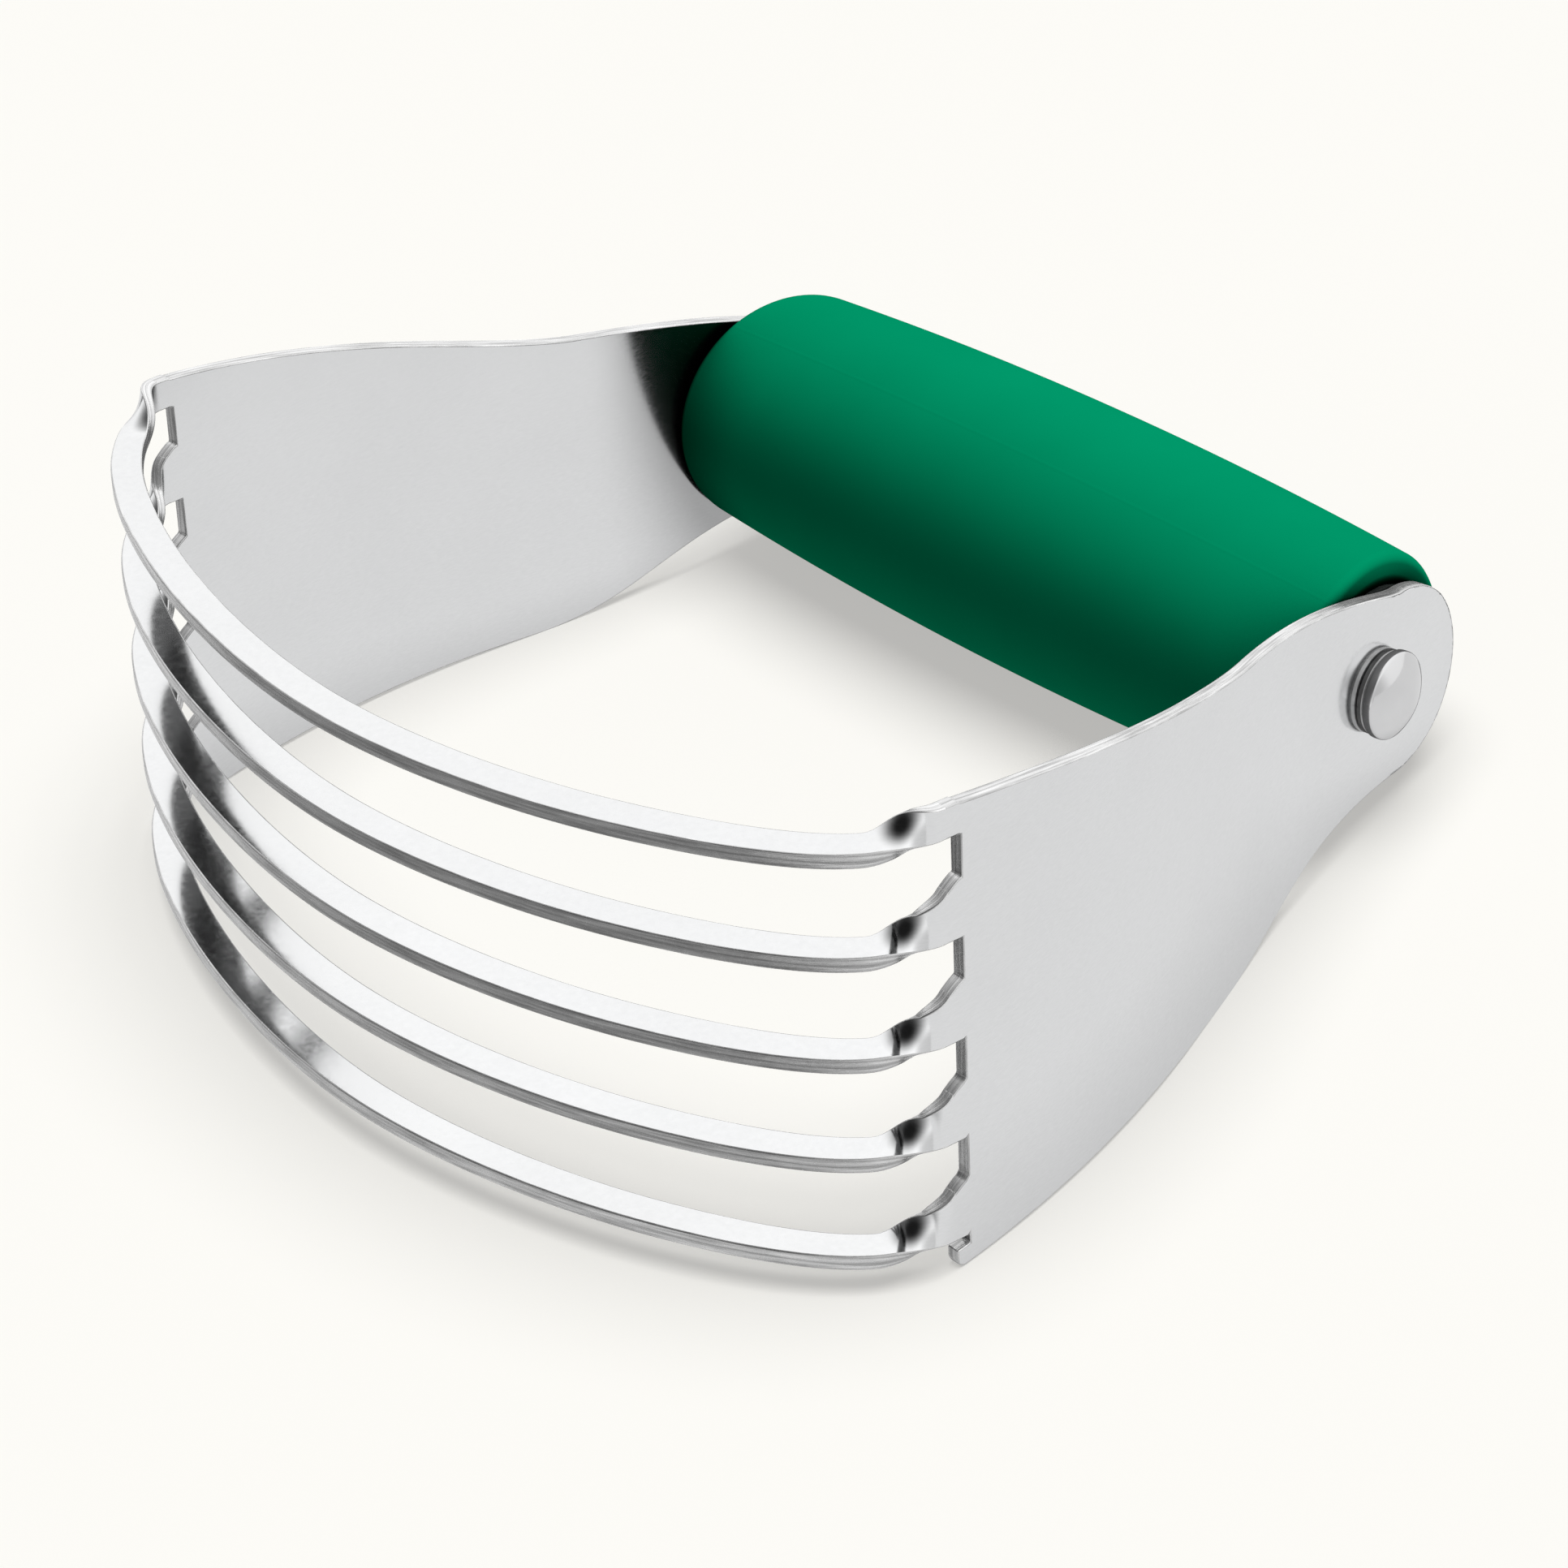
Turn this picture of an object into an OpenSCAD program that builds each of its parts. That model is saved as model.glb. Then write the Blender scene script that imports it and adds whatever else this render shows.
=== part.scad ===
// Pastry blender: a bow of sheet-steel blades held by a barrel grip.
// The tool lies at rest on a bench, on the grip's belly and the lower edges of both plates.
// +X runs along the grip, -Y towards the blades and +Z up. The origin is on the bench,
// under the middle of the grip.

/* [Blade frame] */
// Thickness of the sheet that the plates and blades are cut from
sheet = 1.5; // [1.2:0.1:1.8]
// Half the distance between the plates' outer faces, on the grip's axis
half_span = 45.6; // [40:0.4:52]
// Angle by which each plate leans away from the middle where it meets the grip
lug_lean = 10.4; // [8:0.2:14]
// Angle by which the plate leans once past the grip
lean = 19.4; // [15:0.2:21]
// Distance from the grip's axis to the front edge of a plate, along the sheet
plate_reach = 71.2; // [68:0.4:80]
// Distance from the grip's axis to where the plate starts to curve back inwards
bend_start = 36; // [32:1:44]
// Radius of that inward curve
bend_radius = 93; // [75:1:120]
// Depth of the slots cut between the blades into the plate's front edge
slot_depth = 1.5; // [0.5:0.5:3]
// Radius of the plate's rounded end at the grip
lug_radius = 10; // [9.4:0.1:11]

/* [Blades] */
// Number of blades
blade_count = 5; // [4:1:6]
// Distance between neighbouring blades
blade_pitch = 10.5; // [9:0.5:12]
// Width of a blade, measured from its outer edge inwards
blade_width = 3.2; // [2.8:0.1:4.5]
// Height of the uncut strip where a blade leaves the plate
root_height = 6.2; // [5:0.2:7]
// Length over which a blade twists flat
twist_length = 6.6; // [6:0.2:10]
// Distance from the plates' front edges to the front of the blades
bow_depth = 24; // [20:0.5:28]
// How far the twist pulls a blade down by its root
root_sag = 0.9; // [0:0.1:1.5]
// Slope of the blades, falling towards the front
blade_slope = 8.2; // [6:0.2:12]

/* [Grip] */
// Radius of the grip at its middle
grip_radius = 14.5; // [13:0.5:16]
// How much thinner the grip is at its ends than at its middle
grip_taper = 1.6; // [0:0.1:2.5]
// Thickness of the soft sleeve over the core
sleeve_wall = 3; // [2:0.5:4]
// Gap between the soft sleeve and each plate
end_gap = 0.4; // [0.2:0.1:1]
// Radius that rounds the sleeve's ends
end_round = 1; // [1:0.5:3]

/* [Fasteners] */
// Radius of a rivet's head
head_radius = 4.5; // [3.5:0.5:5.5]
// Height of the straight side of a rivet's head
head_rim = 1.1; // [0.6:0.1:1.6]
// Height of the dome above that side
head_dome = 1.6; // [1:0.1:2]
// Radius of a rivet's shank
shank_radius = 1.75; // [1.5:0.25:2]
// Length of the metal bush in each end of the core
insert_length = 11; // [8:1:14]
// Outer radius of that bush
insert_radius = 3; // [2.6:0.2:4]
// Thickness of the washer under a rivet's head
washer_thickness = 0.7; // [0.5:0.1:1]

/* [Hidden] */

steel = [0.82, 0.83, 0.84];
green = [0.02, 0.5, 0.36];
dark_plastic = [0.16, 0.17, 0.17];
brass = [0.78, 0.62, 0.33];

// Room left between pieces that fit inside or against one another
fit_gap = 0.05;
// How far a blade's faces lie inside the plate's at its root, so that the two merge cleanly
root_inset = 0.04;
// How far a blade's root reaches back into the plate
root_overlap = 1;
// Height from a blade's lower edge at its root up to the middle of its uncut strip
half_root = root_height / 2;
// Length over which a root narrows to the blade's width, from the slot's end
root_taper = 4.2;
// How far ahead of the plate the twist starts
twist_start = 0.4;
// Lengths ahead of the plate over which a blade sags, and over which most of that eases off again
sag_length = 5;
ease_start = 6;
ease_length = 12;
eased_share = 0.6;
// Length over which a blade dips from level to its slope
dip_length = 4;
// Steel left under the lowest blade, down to the plate's corner
corner_drop = 3.2;
// Radius of the plate's lower front corner
corner_radius = 1;
// Distance from the rivet back to the centre of the lug's round end
lug_back = 3.1;
// How far the round end's centre lies below the rivet
lug_drop = 0.6;
// Where the plate's lean starts to grow, and the length over which it does
lean_start = 8;
lean_length = 16;
// Step used to follow the sheet in plan
walk_step = 1;
// Radius of the hole for the rivet's shank in the plate, washer and bush
hole_radius = shank_radius + fit_gap;
washer_radius = head_radius - 0.2;
// How far the shank stops short of the bush's inner end
shank_clearance = 1;
// Larger than the whole tool, for blocks that trim
huge = 200;

top_height = (blade_count - 1) / 2 * blade_pitch - half_root + blade_width;
low_height = -(blade_count - 1) / 2 * blade_pitch - half_root - corner_drop;

function blade_height(k) = ((blade_count - 1) / 2 - k) * blade_pitch - half_root;
function root_top(k) = k == 0 ? top_height : blade_height(k) + root_height;
// Height of a blade's strip, at a distance ahead of the plate's front edge
function strip_height(k, ahead) =
    let (full = root_top(k) - blade_height(k), share = min(1, max(0, (ahead + slot_depth) / root_taper)))
    full + (blade_width - full) * share;

// The plate's lean, at a distance t along the sheet from the grip's axis
function sheet_angle(t) =
    lug_lean + (lean - lug_lean) * min(1, max(0, (t - lean_start) / lean_length))
    - max(0, t - bend_start) / bend_radius * 180 / PI;
function heading(angle) = [sin(angle), -cos(angle)];
function inward(angle) = [-cos(angle), -sin(angle)];
// The sheet's outer face in plan, walked out from the rivet in equal steps
sheet_walk = [
    for (
        t = 0, place = [half_span, 0];
        t <= plate_reach + walk_step;
        place = place + walk_step * heading(sheet_angle(t + walk_step / 2)), t = t + walk_step
    ) place
];
function sheet_point(t) =
    let (i = max(0, floor(t / walk_step)))
    t < 0 ? sheet_walk[0] + t * heading(lug_lean)
    : sheet_walk[i] + (t / walk_step - i) * (sheet_walk[i + 1] - sheet_walk[i]);

// Where a point of the side view falls on the lug's flat plane, which the sheet curves away from
function on_lug_plane(p) = [(sheet_point(p[0]) - [half_span, 0]) * heading(lug_lean), p[1]];

// Cubic curve through four control points, and its direction
function curve(c, u) =
    pow(1 - u, 3) * c[0] + 3 * u * pow(1 - u, 2) * c[1] + 3 * u * u * (1 - u) * c[2] + pow(u, 3) * c[3];
function curve_slope(c, u) =
    pow(1 - u, 2) * (c[1] - c[0]) + 2 * u * (1 - u) * (c[2] - c[1]) + u * u * (c[3] - c[2]);
function smooth(x) = let (s = min(1, max(0, x))) s * s * (3 - 2 * s);

// Side view of a plate: along the sheet from the rivet, and up
waist = [24, 13.7];
hip = [29, -20];
lug_top = lug_radius - lug_drop;
lug_low = -lug_radius - lug_drop;
upper_back = [[-lug_back, lug_top], [-0.5, lug_top + 0.3], [7, waist[1] - 0.4], waist];
upper_front = [waist, [34, waist[1] + 0.7], [48, top_height - 1.9], [plate_reach, top_height]];
lower_back = [[-lug_back, lug_low], [13, lug_low], [17, hip[1] + 1.8], hip];
lower_front = [hip, [42, hip[1] - 1.6], [56, low_height + 3.2], [plate_reach, low_height]];
curve_steps = 10;
lug_steps = 18;

function lug_edge() = [
    for (i = [0 : lug_steps])
        let (a = 90 + 180 * i / lug_steps)
        [-lug_back + lug_radius * cos(a), lug_radius * sin(a) - lug_drop]
];
function curve_points(c, first, last) = [for (i = [first : last]) curve(c, i / curve_steps)];
function front_corner() = [
    for (a = [-75 : 25 : 0])
        [plate_reach - corner_radius + corner_radius * cos(a), low_height + corner_radius * (1 + sin(a))]
];
function front_edge() = [
    for (k = [blade_count - 1 : -1 : 0]) each [
        [plate_reach - slot_depth, blade_height(k)],
        [plate_reach, blade_height(k)],
        [plate_reach, blade_height(k) + strip_height(k, 0)],
        if (k > 0) [plate_reach - slot_depth, root_top(k)]
    ]
];
side_view = concat(
    lug_edge(),
    curve_points(lower_back, 1, curve_steps),
    curve_points(lower_front, 1, curve_steps - 1),
    front_corner(),
    [[plate_reach, blade_height(blade_count - 1) - 1.2]],
    [[plate_reach - slot_depth, blade_height(blade_count - 1) - 1.2]],
    front_edge(),
    [for (i = [curve_steps - 1 : -1 : 1]) curve(upper_front, i / curve_steps)],
    [for (i = [curve_steps : -1 : 1]) curve(upper_back, i / curve_steps)]
);

// Plan of a blade's outer edge, from the plate's front edge to the middle of the bow
front_angle = sheet_angle(plate_reach);
bow_start = sheet_point(plate_reach);
bow_front = bow_start[1] - bow_depth;
bow = [
    bow_start,
    bow_start + 13.3 * heading(front_angle),
    [0.4 * bow_start[0], bow_front],
    [0, bow_front]
];
half_stations = 22;
// Stations crowd towards the root, where the blade twists
function bow_place(i) = pow(i / half_stations, 1.5);

// How far a blade has fallen below its root: a sag by the twist, then a steady slope
function dip(ahead) = ahead < dip_length ? ahead * ahead / 2 / dip_length : ahead - dip_length / 2;
function sag(ahead) =
    root_sag * smooth(ahead / sag_length) * (1 - eased_share * smooth((ahead - ease_start) / ease_length));
function drop(ahead) = ahead <= 0 ? 0 : tan(blade_slope) * dip(ahead) + sag(ahead);

// The four corners of a blade's section, from its place and direction in plan
function section(k, place, angle) =
    let (
        ahead = bow_start[1] - place[1],
        turn = 90 * smooth((ahead - twist_start) / twist_length),
        width = strip_height(k, ahead) - 2 * root_inset,
        thick = sheet - 2 * root_inset,
        n = inward(angle),
        base = [
            place[0] + root_inset * n[0],
            place[1] + root_inset * n[1],
            blade_height(k) + root_inset - drop(ahead)
        ],
        across = [n[0], n[1], tan(blade_slope) * n[1]],
        up = [0, 0, 1],
        outer = base + thick * sin(turn) * up,
        inner = base + thick * cos(turn) * across,
        reach = width * (cos(turn) * up + sin(turn) * across)
    )
    [outer, inner, inner + reach, outer + reach];

function slope_angle(d) = atan2(d[0], -d[1]);
function half_blade(k) = concat(
    [section(k, sheet_point(plate_reach - root_overlap), sheet_angle(plate_reach - root_overlap))],
    [
        for (i = [0 : half_stations])
            let (u = bow_place(i))
            section(k, curve(bow, u), slope_angle(curve_slope(bow, u)))
    ]
);
function mirrored(s) = [for (p = s) [-p[0], p[1], p[2]]];

// Twist of the tool about the grip's axis that brings the plates' lower edges down to the bench
function lower_points() = [
    for (p = curve_points(lower_front, 1, curve_steps)) [sheet_point(p[0])[1], p[1]]
];
rest_tilt = max([for (p = lower_points()) atan2(-p[1], -p[0]) - asin(grip_radius / norm(p))]);

module at_rest() {
    translate([0, 0, grip_radius])
        rotate([-rest_tilt, 0, 0])
            children();
}

// Puts a shape at the right-hand rivet: x along the plate, y up, z into the grip from the outer face
module at_right_rivet() {
    at_rest()
        translate([half_span, 0, 0])
            rotate([90, 0, lug_lean - 90])
                children();
}

module at_left_rivet() {
    at_rest()
        mirror([1, 0, 0])
            translate([half_span, 0, 0])
                rotate([90, 0, lug_lean - 90])
                    children();
}

module blade(k) {
    right = half_blade(k);
    left = [for (i = [len(right) - 2 : -1 : 0]) mirrored(right[i])];
    rings = concat(right, left);
    last = len(rings) - 1;
    points = [for (ring = rings) each ring];
    sides = [
        for (i = [0 : last - 1], j = [0 : 3])
            let (a = 4 * i + j, b = 4 * i + (j + 1) % 4)
            each [[a, b, a + 4], [b, b + 4, a + 4]]
    ];
    end = 4 * last;
    caps = [[0, 2, 1], [0, 3, 2], [end, end + 1, end + 2], [end, end + 2, end + 3]];
    polyhedron(points = points, faces = concat(sides, caps));
}

// Upright wall that follows the sheet in plan
module sheet_wall() {
    stops = concat(
        [-lug_radius - lug_back - 1],
        [for (t = [lean_start : lean_length / 4 : lean_start + lean_length]) t],
        [for (t = [bend_start : (plate_reach - bend_start) / 8 : plate_reach + walk_step / 2]) t]
    );
    outer = [for (t = stops) sheet_point(t)];
    inner = [for (i = [len(stops) - 1 : -1 : 0]) outer[i] + sheet * inward(sheet_angle(stops[i]))];
    translate([0, 0, -huge / 2])
        linear_extrude(height = huge)
            polygon(concat(outer, inner));
}

module plate() {
    difference() {
        intersection() {
            sheet_wall();
            translate([half_span, 0, 0])
                rotate([90, 0, lug_lean - 90])
                    translate([0, 0, -huge / 4])
                        linear_extrude(height = huge / 2)
                            polygon([for (p = side_view) on_lug_plane(p)]);
        }
        translate([half_span, 0, 0])
            rotate([90, 0, lug_lean - 90])
                translate([0, 0, -sheet])
                    cylinder(h = 3 * sheet, r = hole_radius, $fn = 48);
    }
}

module blade_frame() {
    color(steel)
        at_rest()
            union() {
                plate();
                mirror([1, 0, 0]) plate();
                for (k = [0 : blade_count - 1]) blade(k);
            }
}

// Barrel about the X axis, thinner at its ends, drawn long enough to be trimmed to the plates
module barrel(radius) {
    reach = half_span + grip_radius * tan(lug_lean) / 2;
    steps = 12;
    profile = [
        for (i = [-steps : steps])
            let (x = reach * i / steps)
            [radius - grip_taper * pow(x / half_span, 2), x]
    ];
    rotate([0, 90, 0])
        rotate_extrude($fn = 96)
            polygon(concat([[0, -reach]], profile, [[0, reach]]));
}

// Everything outside a plane that is parallel to the plates' outer faces and this far in
module beyond(depth) {
    for (side = [0, 1])
        mirror([side, 0, 0])
            translate([half_span, 0, 0])
                rotate([90, 0, lug_lean - 90])
                    translate([-huge / 2, -huge / 2, depth - huge])
                        cube(huge);
}

// Ring at each end that leaves the sleeve's rim rounded: an arc, then a bevel out past the barrel
module rim_trim(depth) {
    rim = grip_radius - grip_taper - end_round;
    bevel = 45;
    round_edge = [
        for (a = [0 : 15 : bevel])
            [rim + end_round * sin(a), depth + end_round * (1 - cos(a))]
    ];
    bevel_end = round_edge[len(round_edge) - 1] + [grip_radius, grip_radius];
    for (side = [0, 1])
        mirror([side, 0, 0])
            translate([half_span, 0, 0])
                rotate([90, 0, lug_lean - 90])
                    rotate_extrude($fn = 96)
                        polygon(concat(round_edge, [bevel_end, [bevel_end[0], depth - 1], [rim, depth - 1]]));
}

module grip_sleeve() {
    depth = sheet + end_gap;
    color(green)
        at_rest()
            difference() {
                barrel(grip_radius);
                barrel(grip_radius - sleeve_wall);
                beyond(depth);
                rim_trim(depth);
            }
}

module insert_pocket() {
    translate([0, 0, -1])
        cylinder(h = sheet + insert_length + 1 + 2 * fit_gap, r = insert_radius + fit_gap, $fn = 48);
}

module handle_core() {
    color(dark_plastic)
        difference() {
            at_rest()
                difference() {
                    barrel(grip_radius - sleeve_wall - fit_gap);
                    beyond(sheet + fit_gap);
                }
            at_right_rivet() insert_pocket();
            at_left_rivet() insert_pocket();
        }
}

module insert() {
    translate([0, 0, sheet + fit_gap])
        difference() {
            cylinder(h = insert_length, r = insert_radius, $fn = 48);
            translate([0, 0, -1])
                cylinder(h = insert_length + 2, r = hole_radius, $fn = 48);
        }
}

module insert_right() {
    color(brass) at_right_rivet() insert();
}

module insert_left() {
    color(brass) at_left_rivet() insert();
}

module washer() {
    translate([0, 0, -washer_thickness])
        difference() {
            cylinder(h = washer_thickness, r = washer_radius, $fn = 64);
            translate([0, 0, -1])
                cylinder(h = washer_thickness + 2, r = hole_radius, $fn = 48);
        }
}

module washer_right() {
    color(steel) at_right_rivet() washer();
}

module washer_left() {
    color(steel) at_left_rivet() washer();
}

module rivet() {
    seat = -washer_thickness;
    dome_radius = (head_radius * head_radius + head_dome * head_dome) / 2 / head_dome;
    translate([0, 0, seat - head_rim])
        cylinder(h = head_rim, r = head_radius, $fn = 64);
    intersection() {
        translate([0, 0, seat - head_rim - head_dome])
            cylinder(h = head_dome, r = head_radius, $fn = 64);
        translate([0, 0, seat - head_rim - head_dome + dome_radius])
            sphere(r = dome_radius, $fn = 96);
    }
    translate([0, 0, seat])
        cylinder(h = sheet + insert_length - seat - shank_clearance, r = shank_radius, $fn = 48);
}

module rivet_right() {
    color(steel) at_right_rivet() rivet();
}

module rivet_left() {
    color(steel) at_left_rivet() rivet();
}

blade_frame();
grip_sleeve();
handle_core();
insert_right();
insert_left();
washer_right();
washer_left();
rivet_right();
rivet_left();
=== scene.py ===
"""Pastry blender: finished meshes, materials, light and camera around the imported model."""
from math import asin, atan2, ceil, cos, degrees, hypot, pi, radians, sin, sqrt, tan

import bpy
from mathutils import Matrix, Vector


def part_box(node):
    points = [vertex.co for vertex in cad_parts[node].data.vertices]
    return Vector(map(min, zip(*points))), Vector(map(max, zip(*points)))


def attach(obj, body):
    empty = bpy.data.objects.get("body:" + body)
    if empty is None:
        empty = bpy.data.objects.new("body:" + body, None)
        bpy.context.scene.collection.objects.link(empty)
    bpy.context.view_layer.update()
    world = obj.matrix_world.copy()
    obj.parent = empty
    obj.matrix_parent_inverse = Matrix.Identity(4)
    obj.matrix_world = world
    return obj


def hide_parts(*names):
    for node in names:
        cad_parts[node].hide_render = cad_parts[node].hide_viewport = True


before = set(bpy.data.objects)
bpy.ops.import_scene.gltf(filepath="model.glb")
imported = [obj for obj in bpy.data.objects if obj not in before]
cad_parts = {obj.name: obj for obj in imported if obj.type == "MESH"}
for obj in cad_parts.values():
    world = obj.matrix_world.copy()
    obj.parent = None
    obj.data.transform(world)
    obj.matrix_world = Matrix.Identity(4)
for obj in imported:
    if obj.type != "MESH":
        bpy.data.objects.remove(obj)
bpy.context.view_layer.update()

# ---------------------------------------------------------------- dimensions, in millimetres
# The tool's own frame: X along the grip, -Y towards the blades, Z up the stack of blades,
# origin at the middle of the grip's axis. AT_REST, further down, takes it to the shared frame.
MM = 0.001

SHEET = 1.5             # thickness of the blade frame's sheet
HALF_SPAN = 45.6        # half the distance between the plates' outer faces at the grip
LUG_LEAN = 10.4         # degrees that a plate leans outwards at the grip
LEAN = 19.4             # degrees that it leans past the grip
LEAN_START = 8.0        # where the lean starts to grow, and over which length
LEAN_LENGTH = 16.0
BEND_START = 36.0       # where the plate starts to curve back inwards, and at which radius
BEND_RADIUS = 93.0
PLATE_REACH = 71.2      # from the grip's axis to the plate's front edge, along the sheet
SLOT_DEPTH = 1.5
LUG_RADIUS = 10.0
LUG_BACK = 3.1          # how far behind the rivet the round end's centre lies
LUG_DROP = 0.6          # how far the round end's centre lies below the rivet

BLADES = 5
PITCH = 10.5
BLADE_WIDTH = 3.2
ROOT_HEIGHT = 6.2       # height of the uncut strip that a blade leaves from
TWIST_START = 0.4       # ahead of the plate's front edge
TWIST_LENGTH = 6.6
ROOT_TAPER = 4.2        # length over which a strip narrows to the blade's width
ROOT_EASE = 0.35        # how much of that taper is eased in and out
BOW_DEPTH = 24.0        # from the plates' front edges to the middle of a blade
BOW_LEAD = 13.3         # how long a blade keeps to the plate's direction
BOW_FRONT_SHARE = 0.4   # how much of its half width is flat at the front
BLADE_SLOPE = 8.2       # degrees that a blade falls towards the front
DIP_LENGTH = 4.0        # length over which the fall sets in
ROOT_SAG = 0.9          # how far the twist pulls a blade down by its root
SAG_LENGTH = 5.0        # length over which it does
SAG_RETURN = 0.6        # share of the sag that is taken back, from where and over which length
RETURN_START = 6.0
RETURN_LENGTH = 12.0
CORNER_DROP = 3.2       # height of the plate's corner below the lowest blade
CORNER_RADIUS = 1.0
LOW_SLOT = 1.2          # height of the small slot under the lowest blade

GRIP_TAPER = 1.6        # how much smaller the barrel's radius is at its ends
SLEEVE_WALL = 3.0
END_GAP = 0.4           # between a plate and the sleeve's end
END_ROUND = 1.0

HEAD_RADIUS = 4.5
HEAD_RIM = 1.1          # height of the head's side
HEAD_DOME = 1.6         # height of the dome on it
SHANK_RADIUS = 1.75
SHANK_LENGTH = 12.0
WASHER = 0.7            # the washer's thickness
WASHER_INSET = 0.2      # how far its rim lies inside the head's
WASHER_CHAMFER = 0.12
BORE_CLEARANCE = 0.05

low_sleeve, high_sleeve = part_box("grip_sleeve")
GRIP_RADIUS = (high_sleeve.z - low_sleeve.z) / 2 / MM

SLOT_END = PLATE_REACH - SLOT_DEPTH
HALF_ROOT = ROOT_HEIGHT / 2
HALF_STACK = (BLADES - 1) / 2 * PITCH
TOP = HALF_STACK - HALF_ROOT + BLADE_WIDTH
LOW = -HALF_STACK - HALF_ROOT - CORNER_DROP


def blade_low(k):
    """Height of blade k's lower edge where it leaves the plate; blade 0 is the top one."""
    return HALF_STACK - k * PITCH - HALF_ROOT


def root_top(k):
    return TOP if k == 0 else blade_low(k) + ROOT_HEIGHT


# ---------------------------------------------------------------- the sheet in plan
def smooth(x):
    """Eases from 0 to 1 while x goes from 0 to 1."""
    s = min(1.0, max(0.0, x))
    return s * s * (3 - 2 * s)


def sheet_angle(t):
    """Degrees that the plate leans outwards, t along the sheet from the grip's axis."""
    grown = min(1.0, max(0.0, (t - LEAN_START) / LEAN_LENGTH))
    return LUG_LEAN + (LEAN - LUG_LEAN) * grown - degrees(max(0.0, t - BEND_START) / BEND_RADIUS)


def heading(angle):
    """Unit direction towards the blades, this many degrees outwards."""
    return Vector((sin(radians(angle)), -cos(radians(angle))))


def inward(angle):
    """Unit direction through the sheet, from its outer face to its inner one."""
    return Vector((-cos(radians(angle)), -sin(radians(angle))))


def walk_sheet():
    """Points on the outer face, at equal steps along the sheet from the grip's axis."""
    step = 0.5
    place = Vector((HALF_SPAN, 0))
    places = [place.copy()]
    for i in range(ceil(PLATE_REACH / step) + 2):
        place = place + step * heading(sheet_angle((i + 0.5) * step))
        places.append(place.copy())
    return step, places


WALK_STEP, WALK = walk_sheet()


def sheet_point(t):
    """Point on the outer face in plan, t along the sheet; behind the rivet the sheet is flat."""
    if t < 0:
        return WALK[0] + t * heading(LUG_LEAN)
    i = int(t / WALK_STEP)
    return WALK[i].lerp(WALK[i + 1], t / WALK_STEP - i)


def curve(c, u):
    """Point at u, from 0 to 1, on the Bezier curve with the four control points c."""
    v = 1 - u
    return v ** 3 * c[0] + 3 * u * v * v * c[1] + 3 * u * u * v * c[2] + u ** 3 * c[3]


def curve_slope(c, u):
    v = 1 - u
    return v * v * (c[1] - c[0]) + 2 * u * v * (c[2] - c[1]) + u * u * (c[3] - c[2])


# The plate's outline in side view: control points, along the sheet from the rivet and up
WAIST = Vector((24, 13.7))
HIP = Vector((29, -20))
LUG_TOP = LUG_RADIUS - LUG_DROP
LUG_LOW = -LUG_RADIUS - LUG_DROP
UPPER_BACK = [
    Vector((-LUG_BACK, LUG_TOP)), Vector((-0.5, LUG_TOP + 0.3)), Vector((7, WAIST.y - 0.4)), WAIST
]
UPPER_FRONT = [
    WAIST, Vector((34, WAIST.y + 0.7)), Vector((48, TOP - 1.9)), Vector((PLATE_REACH, TOP))
]
LOWER_BACK = [
    Vector((-LUG_BACK, LUG_LOW)), Vector((13, LUG_LOW)), Vector((17, HIP.y + 1.8)), HIP
]
LOWER_FRONT = [
    HIP, Vector((42, HIP.y - 1.6)), Vector((56, LOW + 3.2)), Vector((PLATE_REACH, LOW))
]


def edge_height(curves, t):
    """Height of an edge of the plate at t, found on its two curves by halving."""
    c = curves[0] if t <= curves[0][3].x else curves[1]
    low, high = 0.0, 1.0
    halvings = 30
    for _ in range(halvings):
        u = (low + high) / 2
        if curve(c, u).x < t:
            low = u
        else:
            high = u
    return curve(c, low).y


def top_edge(t):
    return edge_height((UPPER_BACK, UPPER_FRONT), t)


def bottom_edge(t):
    return edge_height((LOWER_BACK, LOWER_FRONT), t)


def rest_angle():
    """Degrees that the tool tips to rest on the grip's belly and both plates' lower edges."""
    steps = 10
    found = -90.0
    for i in range(1, steps + 1):
        p = curve(LOWER_FRONT, i / steps)
        y, z = sheet_point(p.x).y, p.y
        found = max(found, degrees(atan2(-z, -y)) - degrees(asin(GRIP_RADIUS / hypot(y, z))))
    return found


AT_REST = (
    Matrix.Translation((0, 0, GRIP_RADIUS * MM))
    @ Matrix.Rotation(-radians(rest_angle()), 4, "X")
    @ Matrix.Scale(MM, 4)
)


# ---------------------------------------------------------------- the blades' bow
FRONT_ANGLE = sheet_angle(PLATE_REACH)
BOW_START = sheet_point(PLATE_REACH)
BOW_FRONT = BOW_START.y - BOW_DEPTH
BOW = [
    BOW_START,
    BOW_START + BOW_LEAD * heading(FRONT_ANGLE),
    Vector((BOW_FRONT_SHARE * BOW_START.x, BOW_FRONT)),
    Vector((0, BOW_FRONT)),
]


def strip_height(k, ahead):
    """Height of blade k's strip, which starts to narrow at the slot's end; ahead is the distance
    past the plate's front edge."""
    full = root_top(k) - blade_low(k)
    along = (ahead + SLOT_DEPTH) / ROOT_TAPER
    share = min(1.0, max(0.0, along))
    share += ROOT_EASE * (smooth(along) - share)
    return full + (BLADE_WIDTH - full) * share


def drop(ahead):
    """How far a blade has fallen below its root: a sag by the twist, then a steady slope."""
    if ahead <= 0:
        return 0.0
    dip = ahead * ahead / 2 / DIP_LENGTH if ahead < DIP_LENGTH else ahead - DIP_LENGTH / 2
    left = 1 - SAG_RETURN * smooth((ahead - RETURN_START) / RETURN_LENGTH)
    sag = ROOT_SAG * smooth(ahead / SAG_LENGTH) * left
    return tan(radians(BLADE_SLOPE)) * dip + sag


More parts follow.
